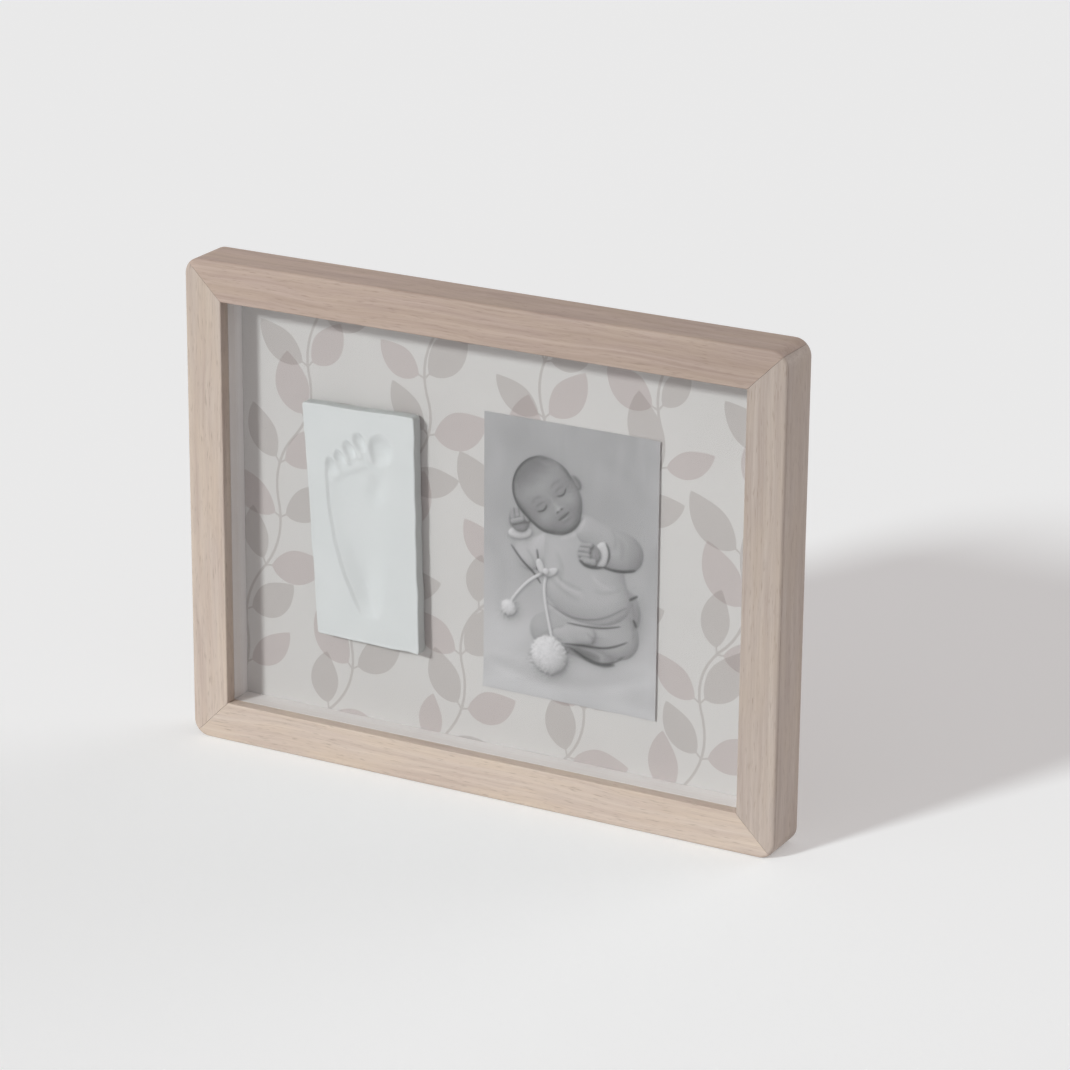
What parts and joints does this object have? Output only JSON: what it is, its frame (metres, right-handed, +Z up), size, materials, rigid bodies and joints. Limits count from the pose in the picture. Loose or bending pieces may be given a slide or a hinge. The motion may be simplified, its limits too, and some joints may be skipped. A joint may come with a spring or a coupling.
{
  "type": "baby print picture frame",
  "caption": "Deep wooden picture frame, glazed, with a clay footprint tile and an upright photo print on leaf-patterned paper, and a back board held by turn buttons.",
  "frame": {"origin": "middle of the overall width and depth, on the surface that the bottom rail stands on", "axes": "+X to the right as seen from the front, +Y from the front to the wall side, +Z up"},
  "size_m": [0.35, 0.031, 0.27],
  "materials": {
    "pale_wood": "pale bare wood, fine grain",
    "white_painted_wood": "matt white paint",
    "clear_glass": "clear float glass",
    "printed_paper": "matt printed paper",
    "grey_board": "grey board",
    "white_clay": "air-dried white clay",
    "foam_pad": "white closed-cell foam",
    "photo_paper": "satin photo paper",
    "clear_tape": "double-sided tape",
    "hardboard": "brown fibreboard",
    "zinc_steel": "zinc plated steel"
  },
  "bodies": {
    "frame": {"top_rail": "pale_wood", "bottom_rail": "pale_wood", "left_rail": "pale_wood", "right_rail": "pale_wood", "spacer_top": "white_painted_wood", "spacer_bottom": "white_painted_wood", "spacer_left": "white_painted_wood", "spacer_right": "white_painted_wood", "glass_pane": "clear_glass", "leaf_print_sheet": "printed_paper", "mount_board": "grey_board", "clay_tile": "white_clay", "tile_foam_pads": "foam_pad", "photo_print": "photo_paper", "photo_tape": "clear_tape", "back_board": "hardboard", "corner_v_nails": "zinc_steel", "turn_button_screws": "zinc_steel", "sawtooth_hanger": "zinc_steel", "hanger_nails": "zinc_steel"},
    "button_top_left": {"turn_button_top_left": "zinc_steel"},
    "button_top_right": {"turn_button_top_right": "zinc_steel"},
    "button_bottom_left": {"turn_button_bottom_left": "zinc_steel"},
    "button_bottom_right": {"turn_button_bottom_right": "zinc_steel"},
    "button_left": {"turn_button_left": "zinc_steel"},
    "button_right": {"turn_button_right": "zinc_steel"}
  },
  "joints": [
    {"name": "swing_top_left", "type": "hinge", "parent": "frame", "child": "button_top_left", "pos_m": [-0.095, 0.01246, 0.262], "axis": [0, 1, 0], "range_deg": [-90, 90]},
    {"name": "swing_top_right", "type": "hinge", "parent": "frame", "child": "button_top_right", "pos_m": [0.095, 0.01246, 0.262], "axis": [0, 1, 0], "range_deg": [-90, 90]},
    {"name": "swing_bottom_left", "type": "hinge", "parent": "frame", "child": "button_bottom_left", "pos_m": [-0.095, 0.01246, 0.008], "axis": [0, 1, 0], "range_deg": [-90, 90]},
    {"name": "swing_bottom_right", "type": "hinge", "parent": "frame", "child": "button_bottom_right", "pos_m": [0.095, 0.01246, 0.008], "axis": [0, 1, 0], "range_deg": [-90, 90]},
    {"name": "swing_left", "type": "hinge", "parent": "frame", "child": "button_left", "pos_m": [-0.167, 0.01246, 0.135], "axis": [0, 1, 0], "range_deg": [-90, 90]},
    {"name": "swing_right", "type": "hinge", "parent": "frame", "child": "button_right", "pos_m": [0.167, 0.01246, 0.135], "axis": [0, 1, 0], "range_deg": [-90, 90]}
  ]
}
